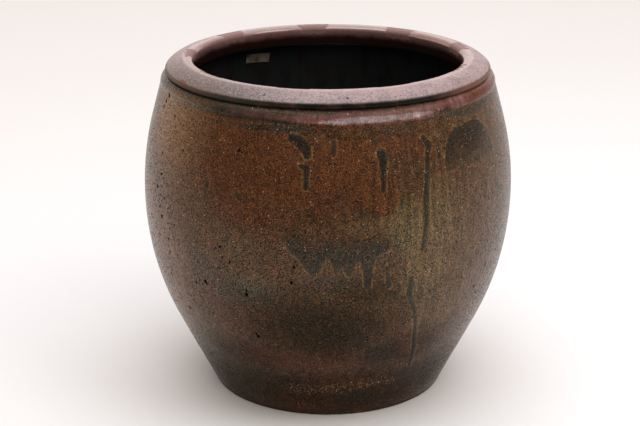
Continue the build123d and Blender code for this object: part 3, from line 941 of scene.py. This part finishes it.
@dataclass(frozen=True)
class MauveRimGlaze(Finish):
    """Pale mauve satin glaze brushed on the rim, speckled with iron from the clay under it.

    Rubbed bare and matte where the wads stood in the kiln. Down the outer edge the glaze ran thin and dark,
    and painted shade darkens it more; down the throat it darkens too. Levels of "travel" are mm along the
    coat from the groove.
    """

    name: str = "brushed_mauve_rim_glaze"
    ground: str = "#876f6e"
    pale: str = "#a59090"
    blush: str = "#946f68"
    speck: str = "#463a36"
    thin: str = "#463c34"
    brick: str = "#6c483d"
    scar: str = "#85706b"
    scar_edge: str = "#a08580"
    # Painted shade down the outer edge: near black under it, half-shaded grey above
    edge: str = "#15140f"
    bronze: str = "#3a3527"
    worn: str = "#4a2f29"
    chip: str = "#4a2618"
    edge_half_shade: str = "#5a4e4a"
    lip: str = "#75453e"
    throat: str = "#20100c"
    cloud_width: float = 22.0 * MM
    speck_width: float = 2.6 * MM
    relief: float = 1.0 * MM
    ior: float = 1.58

    def paint(self, new: Adder, place: Socket) -> Socket:
        """Builds the nodes and returns the surface shader."""
        cloud = new("TexNoise", place, 1 / self.cloud_width, 4.0, 0.6)
        fine = new("TexNoise", place, 1 / self.speck_width, 4.0, 0.7)
        travel, bare, thin, brick, chip, hole = (
            new("Attribute", attribute_name=name, out=2)
            for name in ("travel", "bare", "thin", "brick", "chip", "hole")
        )

        # Mottled ground, and brown where the coat lies thin, on the left
        tone = new("Math", fine, 0.8, cloud, operation="MULTIPLY_ADD")
        pale = new("MapRange", tone, 0.75, 1.1)
        blush = new("MapRange", cloud, 0.52, 0.68, 0.0, 0.7)
        speck = new("MapRange", fine, 0.46, 0.36, 0.0, 0.8)
        thin = new("Math", cloud, 1.1, thin, operation="MULTIPLY_ADD")
        thin = new("MapRange", thin, 0.8, 1.5, 0.0, 0.92)
        gritty = new("MapRange", fine, 0.62, 0.42, 0.35, 1.0)
        thinned = new("Math", thin, gritty, operation="MULTIPLY")
        coats = [(pale, self.pale), (blush, self.blush), (speck, self.speck), (thinned, self.thin)]

        # Painted shade down the outer edge, over glaze that runs dark there: near black below, a
        # half-shaded grey band above; brick-red at the right, with a brown chip and black pits
        worn = new("MapRange", cloud, 0.5, 0.64, 0.0, 0.8)
        dark = self.edge
        for mask, colour in ((thin, self.bronze), (worn, self.worn), (brick, self.brick)):
            dark = new("Mix", mask, dark, colour, data_type="RGBA")
        edge_half_shade = new("Mix", brick, self.edge_half_shade, self.brick, data_type="RGBA")
        wavy = travel
        for noise, sway in ((cloud, 2.4), (fine, 3.0)):
            wavy = new("Math", noise, sway, wavy, operation="MULTIPLY_ADD")
        high = new("MapRange", wavy, 14.0, 12.2)
        low = new("MapRange", wavy, 12.2, 10.4)
        chip = new("Math", fine, 3.0, chip, operation="MULTIPLY_ADD")
        chip = new("MapRange", chip, 0.9, 1.6)
        hole = new("MapRange", hole, 0.0, 1.0)
        coats += [(high, edge_half_shade), (low, dark), (chip, self.chip), (hole, self.edge)]

        # Bare scars, ringed with pink where the glaze drew back
        shaken = new("Math", fine, 3.2, bare, operation="MULTIPLY_ADD")
        ring = new("MapRange", shaken, -0.6, 1.0, 0.0, 0.6)
        scar = new("MapRange", shaken, 1.4, 2.6)
        grit = new("MapRange", fine, 0.35, 0.65, 0.72, 1.2)
        clay = new("VectorMath", self.scar, grit, operation="SCALE")

        # Redder inside the crown, and down the throat the liner glaze takes over
        rosy = new("MapRange", travel, 35.0, 44.0, 0.0, 0.6)
        deep = new("Math", cloud, 8.0, travel, operation="MULTIPLY_ADD")
        deep = new("MapRange", deep, 55.0, 68.0, interpolation_type="SMOOTHSTEP")
        coats += [(ring, self.scar_edge), (scar, clay), (rosy, self.lip), (deep, self.throat)]
        base = self.ground
        for mask, colour in coats:
            base = new("Mix", mask, base, colour, data_type="RGBA")

        # Satin on the slope, wet gloss from the crown inwards, dull on the scars; under the edge the
        # reflection is cut as painted shade
        inner = new("MapRange", travel, 33.0, 37.0)
        rough = new("MapRange", fine, 0.3, 0.7, 0.5, 0.38)
        for mask, more in ((inner, -0.32), (scar, 0.5)):
            rough = new("Math", mask, more, rough, operation="MULTIPLY_ADD")
        shine = new("MapRange", wavy, 10.6, 13.2, 0.12, 0.34)
        shine = new("Math", inner, 0.68, shine, operation="MULTIPLY_ADD")
        shine = new("Math", scar, -0.7, shine, operation="MULTIPLY_ADD", use_clamp=True)
        height = new("Math", fine, 0.3, operation="MULTIPLY")
        bump = new("Bump", 0.45, self.relief, Height=height)
        return new("BsdfPrincipled", base, Roughness=rough, IOR=self.ior, Specular_IOR_Level=shine,
                   Normal=bump)


@dataclass(frozen=True)
class BlackLinerGlaze(Finish):
    """Thick glossy black-brown glaze sloshed round the inside, with a faint red-brown bloom."""

    name: str = "sloshed_black_liner_glaze"
    ground: str = "#292d2e"
    bloom: str = "#2a1d18"
    streak_width: float = 18.0 * MM
    ripple_width: float = 5.0 * MM
    relief: float = 0.4 * MM
    ior: float = 1.5

    def paint(self, new: Adder, place: Socket) -> Socket:
        """Builds the nodes and returns the surface shader."""
        flow = new("Mapping", place, Scale=(1.0, 1.0, 0.25))
        streak = new("TexNoise", flow, 1 / self.streak_width, 4.0, 0.6)
        ripple = new("TexNoise", place, 1 / self.ripple_width, 3.0, 0.6)
        mask = new("MapRange", streak, 0.5, 0.75)
        base = new("Mix", mask, self.ground, self.bloom, data_type="RGBA")
        rough = new("MapRange", ripple, 0.3, 0.7, 0.12, 0.22)
        bump = new("Bump", 0.3, self.relief, Height=ripple)
        return new("BsdfPrincipled", base, Roughness=rough, IOR=self.ior, Normal=bump)


@dataclass(frozen=True)
class FiredRedStoneware(Finish):
    """Bare coarse stoneware clay, fired to a toasted red-brown: matte, gritty and finely pitted."""

    name: str = "fired_red_stoneware"
    ground: str = "#7c5442"
    toasted: str = "#563629"
    grit: str = "#a78a72"
    foot_dark: str = "#1f150f"
    flash: str = "#6d3322"
    cloud_width: float = 30.0 * MM
    grain_width: float = 3.0 * MM
    grit_pitch: float = 4.76 * MM
    relief: float = 0.8 * MM
    roughness: float = 0.88
    bare_low: float = 0.3 * MM
    bare_high: float = 1.0 * MM

    def paint(self, new: Adder, place: Socket) -> Socket:
        """Builds the nodes and returns the surface shader."""
        cloud = new("TexNoise", place, 1 / self.cloud_width, 4.0, 0.6)
        fine = new("TexNoise", place, 1 / self.grain_width, 4.0, 0.7)
        grit = new("TexVoronoi", place, 1 / self.grit_pitch, Randomness=1.0)
        tone = new("Math", fine, 0.6, cloud, operation="MULTIPLY_ADD")
        toasted = new("MapRange", tone, 0.65, 1.0)
        stone = new("MapRange", grit, 0.22, 0.14, 0.0, 0.7)

        # Dark up the bare foot from just above its underside, with red spots here and there
        spot = new("MapRange", cloud, 0.56, 0.62)
        foot_dark_mix = new("Mix", spot, self.foot_dark, self.flash, data_type="RGBA")
        up = new("SeparateXYZ", place, out=2)
        darker_up_foot = new("MapRange", up, self.bare_low, self.bare_high, 0.0, 0.9)
        base = self.ground
        for mask, colour in ((toasted, self.toasted), (stone, self.grit), (darker_up_foot, foot_dark_mix)):
            base = new("Mix", mask, base, colour, data_type="RGBA")
        height = new("Math", stone, 0.3, fine, operation="MULTIPLY_ADD")
        bump = new("Bump", 0.7, self.relief, Height=height)
        return new("BsdfPrincipled", base, Roughness=self.roughness, Normal=bump)


@dataclass(frozen=True)
class AgedLabelPaper(Finish):
    """Thin uncoated label paper, browned and smudged by damp, with nothing on it."""

    name: str = "aged_blank_label_paper"
    ground: str = "#a59a90"
    stain: str = "#6d625a"
    stain_width: float = 9.0 * MM
    fibre_width: float = 0.9 * MM
    relief: float = 0.1 * MM
    roughness: float = 0.8
    ior: float = 1.45

    def paint(self, new: Adder, place: Socket) -> Socket:
        """Builds the nodes and returns the surface shader."""
        damp = new("TexNoise", place, 1 / self.stain_width, 4.0, 0.6)
        fibre = new("TexNoise", place, 1 / self.fibre_width, 2.0, 0.7)
        mask = new("MapRange", damp, 0.42, 0.66)
        base = new("Mix", mask, self.ground, self.stain, data_type="RGBA")
        bump = new("Bump", 0.3, self.relief, Height=fibre)
        return new("BsdfPrincipled", base, Roughness=self.roughness, IOR=self.ior, Normal=bump)


@dataclass(frozen=True)
class SeamlessPaper(Finish):
    """Pale matte studio paper."""

    name: str = "pale_studio_paper"
    colour: str = "#e6e3e2"
    roughness: float = 0.9

    def paint(self, new: Adder, place: Socket) -> Socket:
        """Builds the nodes and returns the surface shader."""
        return new("BsdfPrincipled", self.colour, Roughness=self.roughness)


# Sub-assemblies


@dataclass(frozen=True)
class Band:
    """One spun band of the outer glaze, between two heights."""

    name: str
    low: float
    high: float


@dataclass
class OuterGlaze:
    """The coat poured over the outside, in one band for each coil of the wall, with its runs."""

    map: GlazeMap = field(default_factory=GlazeMap)
    finish: PouredAshGlaze = PouredAshGlaze()
    steps: int = 1200
    row: float = 1.25 * MM
    back_row: float = 9.0 * MM
    coils: int = 5
    foot_joint: float = 56.0 * MM
    joint_step: float = 0.45 * MM
    joint_reach: float = 1.5 * MM
    beating: float = 0.45 * MM
    run_rise: float = 0.6 * MM
    run_shoulder: Point = (-0.4, 2.6)
    bead_height: float = 427.0 * MM
    bead_rise: float = 1.1 * MM
    bead_width: float = 2.2 * MM
    bead_from: Point = (-22.0, 4.0)
    bead_to: Point = (34.0, 56.0)
    pit_depth: float = 0.35 * MM
    pit_lip: Point = (-0.6, 0.6)
    hem_height: float = 1.6 * MM
    hem_sink: float = 0.55 * MM
    neck_overlap: float = 6.0 * MM

    def bands(self) -> list[Band]:
        """The bands from the foot up to the neck."""
        top = OUTLINE.shoulder_height - self.neck_overlap
        levels = [self.foot_joint + (top - self.foot_joint) * i / self.coils for i in range(self.coils + 1)]
        bands = [Band("glaze_foot", OUTLINE.glaze_line, self.foot_joint)]
        return bands + [Band(f"glaze_coil_{i + 1}", levels[i], levels[i + 1]) for i in range(self.coils)]

    def build(self) -> None:
        """Makes and dresses every band."""
        for band in self.bands():
            skin = OUTLINE.skin_points(band.low, band.high, self.row)
            back = OUTLINE.skin_points(band.low, band.high, self.back_row, OUTLINE.glaze)
            self.lay_coat(band.name, skin, back)
        low = OUTLINE.shoulder_height - self.neck_overlap
        neck = OUTLINE.skin_points(low, OUTLINE.shoulder_height, MM)
        neck = joined([neck, OUTLINE.neck_points(MM)])
        self.lay_coat("glaze_neck", neck, sunk(neck, OUTLINE.glaze))

    def lay_coat(self, name: str, skin: list[Point], back: list[Point]) -> None:
        """Makes one band, moves its skin as the glaze lies and keeps the glaze map on it.

        Args:
            name: The piece's name.
            skin: Points of the visible side.
            back: Points of the side on the clay.
        """
        piece = wrapped_coat(name, skin, back, self.steps)
        mesh = piece.data
        points, _, azimuth, height = places(mesh)
        seen = kept(mesh, "skin") > 0.5
        edge, cover, relief = self.map.thick_field(azimuth, height)
        pit = self.map.pit_field(azimuth, height)
        rise = -self.beating * self.map.throwing(azimuth, height)
        above = height - self.foot_joint
        rise -= self.joint_step * (1 - smooth_step(above, -self.joint_reach, self.joint_reach))
        bead = smooth_step(azimuth, *self.bead_from) * (1 - smooth_step(azimuth, *self.bead_to))
        rise += self.bead_rise * bead * np.exp(-((height - self.bead_height) / self.bead_width) ** 2)
        rise += self.run_rise * relief * smooth_step(edge, *self.run_shoulder)
        rise -= self.pit_depth * smooth_step(pit, *self.pit_lip)
        hem = smooth_step(height, OUTLINE.glaze_line, OUTLINE.glaze_line + self.hem_height)
        rise = rise * hem - self.hem_sink * (1 - hem)
        outward = np.column_stack((points[:, 0], points[:, 1]))
        outward /= np.linalg.norm(outward, axis=1)[:, None]
        points[:, :2] += outward * np.where(seen, rise, 0.0)[:, None]
        move(mesh, points)
        tones = {tone: self.map.tone_field(rows, azimuth, height) for tone, rows in TONES.items()}
        store(mesh, lay=self.unrolled(azimuth, height), edge=edge, cover=cover, pit=pit, **tones)
        crease(piece)
        dress(piece, self.finish.build(), Slot.RUST, "outer_glaze", "glaze_runs")

    @staticmethod
    def unrolled(azimuth: Array, height: Array) -> Array:
        """Places on a straight cylinder, as far up it as up the section, for rills that follow the wall."""
        skin = OUTLINE.skin_points(0.0, OUTLINE.shoulder_height, 4 * MM)
        corners = np.array(joined([skin, OUTLINE.neck_points(MM)]))
        gone = np.concatenate(([0.0], np.cumsum(np.linalg.norm(np.diff(corners, axis=0), axis=1))))
        turn = np.radians(azimuth)
        around = OUTLINE.belly_radius * np.array((np.sin(turn), -np.cos(turn)))
        return np.column_stack((*around, np.interp(height, corners[:, 1], gone)))


@dataclass
class Rim:
    """The rim's mauve coat, with nine bare scars left by the wads of the kiln."""

    finish: MauveRimGlaze = MauveRimGlaze()
    steps: int = 900
    row: float = 1.1 * MM
    scars: int = 9
    first_scar: float = -13.5
    outer_width: float = 50.0 * MM
    inner_width: float = 38.0 * MM
    reach_out: float = 10.0 * MM
    reach_front: float = 2.0 * MM
    reach_down: float = 11.0 * MM
    side_sway: float = 1.3 * MM
    side_length: float = 1 / 420.0
    end_sway: float = 0.8 * MM
    end_length: float = 1 / 900.0
    scar_depth: float = 0.4 * MM
    scar_lip: Point = (-0.8, 1.4)
    unevenness: float = 0.3 * MM
    wave_length: float = 9.0 * MM
    holes: tuple[tuple[float, float], ...] = ((-22.0, 5.0 * MM), (6.6, 5.5 * MM))
    hole_radius: float = 2.4 * MM
    chip_angle: float = -59.5
    chip_rise: float = 4.0 * MM
    chip_width: float = 14.0 * MM
    chip_height: float = 6.0 * MM
    thin_middle: float = -50.0
    thin_reach: float = 36.0
    brick_from: Point = (36.0, 56.0)
    brick_to: Point = (112.0, 134.0)

    def build(self) -> None:
        """Makes and dresses the coat."""
        skin = OUTLINE.rim_points(self.row)
        piece = wrapped_coat("rim_coat", skin, sunk(skin, OUTLINE.glaze), self.steps)
        mesh = piece.data
        points, normals, azimuth, height = places(mesh)
        seen = kept(mesh, "skin") > 0.5
        bare = self.bare_field(points, azimuth, height)
        turn = np.radians(azimuth)
        wave = 0.5 + 0.25 * (np.cos(3 * turn + 0.7) + np.cos(5 * turn + 2.1 + height / self.wave_length))
        sink = self.scar_depth * smooth_step(bare, *self.scar_lip) + self.unevenness * wave
        points -= normals * np.where(seen, sink, 0.0)[:, None]
        move(mesh, points)
        store(
            mesh,
            bare=bare,
            chip=self.chip_field(azimuth, height),
            hole=self.hole_field(azimuth, height),
            thin=np.exp(-0.7 * np.abs((azimuth - self.thin_middle) / self.thin_reach) ** 3),
            brick=smooth_step(azimuth, *self.brick_from) * (1 - smooth_step(azimuth, *self.brick_to)),
        )
        crease(piece)
        dress(piece, self.finish.build(), Slot.MAUVE, "rim_glaze")

    def chip_field(self, azimuth: Array, height: Array) -> Array:
        """Signed distance in mm into the small chip on the rim's left edge, positive inside."""
        across = np.radians(azimuth - self.chip_angle) * OUTLINE.rim_radius
        rise = height - (OUTLINE.groove_height + self.chip_rise)
        reach = np.hypot(across / self.chip_width, rise / self.chip_height)
        return (1.0 - reach) * 0.5 * self.chip_height / MM

    def hole_field(self, azimuth: Array, height: Array) -> Array:
        """Signed distance in mm into the black pits on the slope, positive inside."""
        deepest = np.full_like(azimuth, -self.hole_radius)
        for angle, drop in self.holes:
            across = np.radians(azimuth - angle) * OUTLINE.rim_radius
            away = np.hypot(across, 2.0 * (height - (OUTLINE.height - drop)))
            deepest = np.maximum(deepest, self.hole_radius - away)
        return deepest / MM

    def bare_field(self, points: Array, azimuth: Array, height: Array) -> Array:
        """Signed distance in mm into the nearest wad scar, positive inside."""
        radius = np.hypot(points[:, 0], points[:, 1])
        crown_in = OUTLINE.throat_radius + OUTLINE.lip_radius
        behind = smooth_step(-np.cos(np.radians(azimuth)), -0.5, 0.5)
        outer = crown_in + self.reach_front + (self.reach_out - self.reach_front) * behind
        pitch = 360.0 / self.scars
        place = np.round((azimuth - self.first_scar) / pitch)
        across = np.radians(azimuth - self.first_scar - pitch * place) * radius
        share = np.clip((radius - OUTLINE.throat_radius) / (outer - OUTLINE.throat_radius), 0, 1)
        half = 0.5 * (self.inner_width + (self.outer_width - self.inner_width) * share)
        uneven = self.side_sway * np.cos(place * 2.3 + across / self.side_length)
        uneven += self.end_sway * np.cos(place * 1.1 + radius / self.end_length)
        sides = half - np.abs(across)
        floor = height - (OUTLINE.height - self.reach_down)
        return (np.minimum(np.minimum(sides, outer - radius), floor) + uneven) / MM


@dataclass
class Inside:
    """The black coat inside, from under the rim down to the floor, with the blank paper label."""

    finish: BlackLinerGlaze = BlackLinerGlaze()
    paper: AgedLabelPaper = AgedLabelPaper()
    steps: int = 360
    row: float = 4.0 * MM
    label_azimuth: float = -151.5
    label_drop: float = 12.5 * MM
    label_width: float = 38.0 * MM
    label_height: float = 14.0 * MM
    label_tilt: float = 3.0
    label_proud: float = 0.5 * MM
    label_thickness: float = 0.2 * MM
    corner_lift: float = 0.9 * MM
    wrinkle_height: float = 0.12 * MM
    wrinkle_width: float = 4.2 * MM
    wrinkle_length: float = 3.1 * MM

    def build(self) -> None:
        """Makes and dresses the liner coat and the label."""
        cove = OUTLINE.groove_height - OUTLINE.lap
        fillet = OUTLINE.floor_height + OUTLINE.corner_leg
        wall = OUTLINE.skin_points(fillet, cove, self.row, OUTLINE.wall)[::-1]
        corner = (float(OUTLINE.skin_radius(OUTLINE.floor_height, OUTLINE.wall)) - OUTLINE.corner_leg,
                  OUTLINE.floor_height)
        skin = joined([wall, bowed(wall[-1], corner, -OUTLINE.corner_hollow, 2 * MM),
                       bowed(corner, (0.0, OUTLINE.floor_height), 0.0, 4 * MM)])
        back = [(max(radius, 0.0), z) for radius, z in sunk(skin, OUTLINE.glaze)]
        back[-1] = (0.0, back[-1][1])
        piece = wrapped_coat("liner_coat", skin, back, self.steps)
        crease(piece)
        dress(piece, self.finish.build(), Slot.LINER, "liner_glaze")
        self.stick_label(cove - self.label_drop)

    def stick_label(self, height: float) -> None:
        """Bends a thin sheet of paper onto the inner wall.

        Args:
            height: Height of the label's middle.
        """
        sheet = bmesh.new()
        bmesh.ops.create_grid(sheet, x_segments=40, y_segments=16, size=0.5)
        bmesh.ops.scale(sheet, vec=(self.label_width, self.label_height, 1.0), verts=sheet.verts)
        tilt = math.radians(self.label_tilt)
        for vert in sheet.verts:
            across, up, _ = vert.co
            corner = abs(across / self.label_width * 2) ** 6 * abs(up / self.label_height * 2) ** 4
            wrinkle = math.cos(across / self.wrinkle_width) * math.cos(up / self.wrinkle_length + 0.7)
            z = height + up * math.cos(tilt) + across * math.sin(tilt)
            lift = self.corner_lift * corner + self.wrinkle_height * wrinkle
            radius = float(OUTLINE.skin_radius(z, OUTLINE.wall + self.label_proud + lift))
            aside = across * math.cos(tilt) - up * math.sin(tilt)
            turn = math.radians(self.label_azimuth) + aside / radius
            vert.co = (radius * math.sin(turn), -radius * math.cos(turn), z)
        bmesh.ops.recalc_face_normals(sheet, faces=sheet.faces)
        bmesh.ops.solidify(sheet, geom=sheet.faces, thickness=self.label_thickness)
        dress(finished("blank_label", sheet), self.paper.build(), Slot.LABEL, "paper_label")


@dataclass
class ClayBody:
    """The CAD's clay pieces, which show at the bare foot and under the vat."""

    finish: FiredRedStoneware = FiredRedStoneware()
    nodes: tuple[str, ...] = (
        "base_slab", "corner_coil", "foot_coil", "wall_coil_1", "wall_coil_2", "wall_coil_3", "wall_coil_4",
        "wall_coil_5", "neck_band", "rim_flange",
    )

    def dress_nodes(self) -> None:
        """Gives each clay node its finish."""
        for piece in bpy.data.objects:
            if piece.name in self.nodes:
                piece.data.materials.clear()
                piece.data.materials.append(self.finish.build())
                log.info("%s: clay", piece.name)


# Studio


class Reach(Enum):
    """Rays that a lamp answers to."""

    ALL = "all"
    GLOSS = "gloss"
    LIGHT = "light"


@dataclass(frozen=True)
class Softbox:
    """A rectangular diffused lamp, a card that only shows in reflections, or a fill that never does."""

    name: str
    place: tuple[float, float, float]
    aim: tuple[float, float, float]
    width: float
    height: float
    radiance: float
    colour: str = "#ffffff"
    reach: Reach = Reach.ALL

    def build(self) -> None:
        """Puts the lamp in the scene."""
        lamp = bpy.data.lights.new(self.name, "AREA")
        lamp.shape = "RECTANGLE"
        lamp.size = self.width
        lamp.size_y = self.height
        lamp.energy = self.radiance * math.pi * self.width * self.height
        lamp.color = linear(self.colour)[:3]
        box = bpy.data.objects.new(self.name, lamp)
        box.location = self.place
        box.rotation_euler = (Vector(self.aim) - Vector(self.place)).to_track_quat("-Z", "Y").to_euler()
        box.visible_camera = False
        box.visible_diffuse = self.reach is not Reach.GLOSS
        box.visible_glossy = self.reach is not Reach.LIGHT
        bpy.context.scene.collection.objects.link(box)


@dataclass(frozen=True)
class RoomSide:
    """One side of the room's light, which fades in between two values of a direction's coordinate."""

    axis: int
    begins: float
    full: float
    level: float
    colour: str


@dataclass
class Studio:
    """Pale paper sweep, dim room and softboxes, with the photograph's camera."""

    paper: SeamlessPaper = SeamlessPaper()
    floor_radius: float = 12.0
    floor_front: float = 0.9
    room: float = 0.08
    backdrop: str = "#f7f4f2"
    sides: tuple[RoomSide, ...] = (
        RoomSide(1, 0.12, 1.0, 1.28, "#ffefe9"),
        RoomSide(0, -0.4, -0.9, 0.05, "#ffffff"),
        RoomSide(0, 0.4, 0.9, 0.22, "#fff2e2"),
        RoomSide(2, 0.5, 0.9, 1.76, "#fffaf3"),
    )
    lamps: tuple[Softbox, ...] = (
        Softbox("left_card", (-1.7, 0.62, 0.85), (-0.2, 0.35, 0.35), 1.8, 1.5, 1.8, "#ffd0a8", Reach.GLOSS),
        Softbox("boom_card", (-0.35, 0.48, 2.15), (-0.05, 0.1, 0.4), 2.6, 1.1, 0.5, reach=Reach.GLOSS),
        Softbox("top_card", (-0.45, -0.42, 2.1), (-0.05, 0.1, 0.4), 1.6, 0.8, 2.0, reach=Reach.GLOSS),
        Softbox("key_softbox", (1.3, -0.75, 1.75), (0.0, 0.0, 0.3), 1.2, 1.0, 3.2, "#fff8f1"),
        Softbox("overhead_fill", (0.3, 0.0, 2.5), (0.2, 0.0, 0.3), 2.4, 2.4, 1.35, "#bcd9ff", Reach.LIGHT),
        Softbox("front_fill", (0.2, -2.6, 1.9), (0.0, 0.0, 0.2), 2.0, 1.0, 1.95, "#fff6e0", Reach.LIGHT),
    )
    lens: float = 93.29
    sensor: float = 36.0
    eye: tuple[float, float, float] = (0.0, -2.2, 0.97565)
    dip: float = 0.32501
    shift: float = -0.0122

    def build(self) -> None:
        """Builds the floor, the room's light, the lamps and the camera."""
        self.lay_floor()
        self.light_room()
        for lamp in self.lamps:
            lamp.build()
        self.set_camera()

    def lay_floor(self) -> None:
        """Lays the paper on the floor."""
        sweep = bmesh.new()
        bmesh.ops.create_circle(sweep, cap_ends=True, radius=self.floor_radius, segments=192)
        bmesh.ops.translate(sweep, verts=sweep.verts, vec=(0.0, self.floor_radius - self.floor_front, 0.0))
        floor = finished("paper_sweep", sweep)
        floor.data.materials.append(self.paper.build())

    def light_room(self) -> None:
        """Lights the room: bright above and behind the vat, dim in front and at the sides.

        A look past the paper's edge, from another side, finds the pale backdrop.
        """
        world = bpy.data.worlds.new("studio_room")
        bpy.context.scene.world = world
        world.use_nodes = True
        world.node_tree.nodes.clear()
        new = partial(add, world.node_tree)
        direction = new("TexCoord")
        light = (self.room, self.room, self.room, 1.0)
        for side in self.sides:
            along = new("SeparateXYZ", direction, out=side.axis)
            share = new("MapRange", along, side.begins, side.full, interpolation_type="SMOOTHSTEP")
            glow = tuple(side.level * part for part in linear(side.colour)[:3]) + (1.0,)
            light = new("Mix", share, light, glow, data_type="RGBA")
        light = new("Mix", new("LightPath"), light, self.backdrop, data_type="RGBA")
        new("OutputWorld", new("Background", light))

    def set_camera(self) -> None:
        """Stands the camera where the photograph was taken from."""
        lens = bpy.data.cameras.new("photograph_camera")
        lens.lens = self.lens
        lens.sensor_width = self.sensor
        lens.shift_x = self.shift
        camera = bpy.data.objects.new("photograph_camera", lens)
        camera.location = self.eye
        camera.rotation_euler = (math.pi / 2 - self.dip, 0.0, 0.0)
        bpy.context.scene.collection.objects.link(camera)
        bpy.context.scene.camera = camera
        bpy.context.scene.view_settings.view_transform = "Standard"


def main() -> None:
    """Builds the vat and its studio."""
    logging.basicConfig(level=logging.INFO, format="%(name)s %(message)s")
    Studio().build()
    ClayBody().dress_nodes()
    OuterGlaze().build()
    Rim().build()
    Inside().build()


if __name__ == "__main__":
    main()
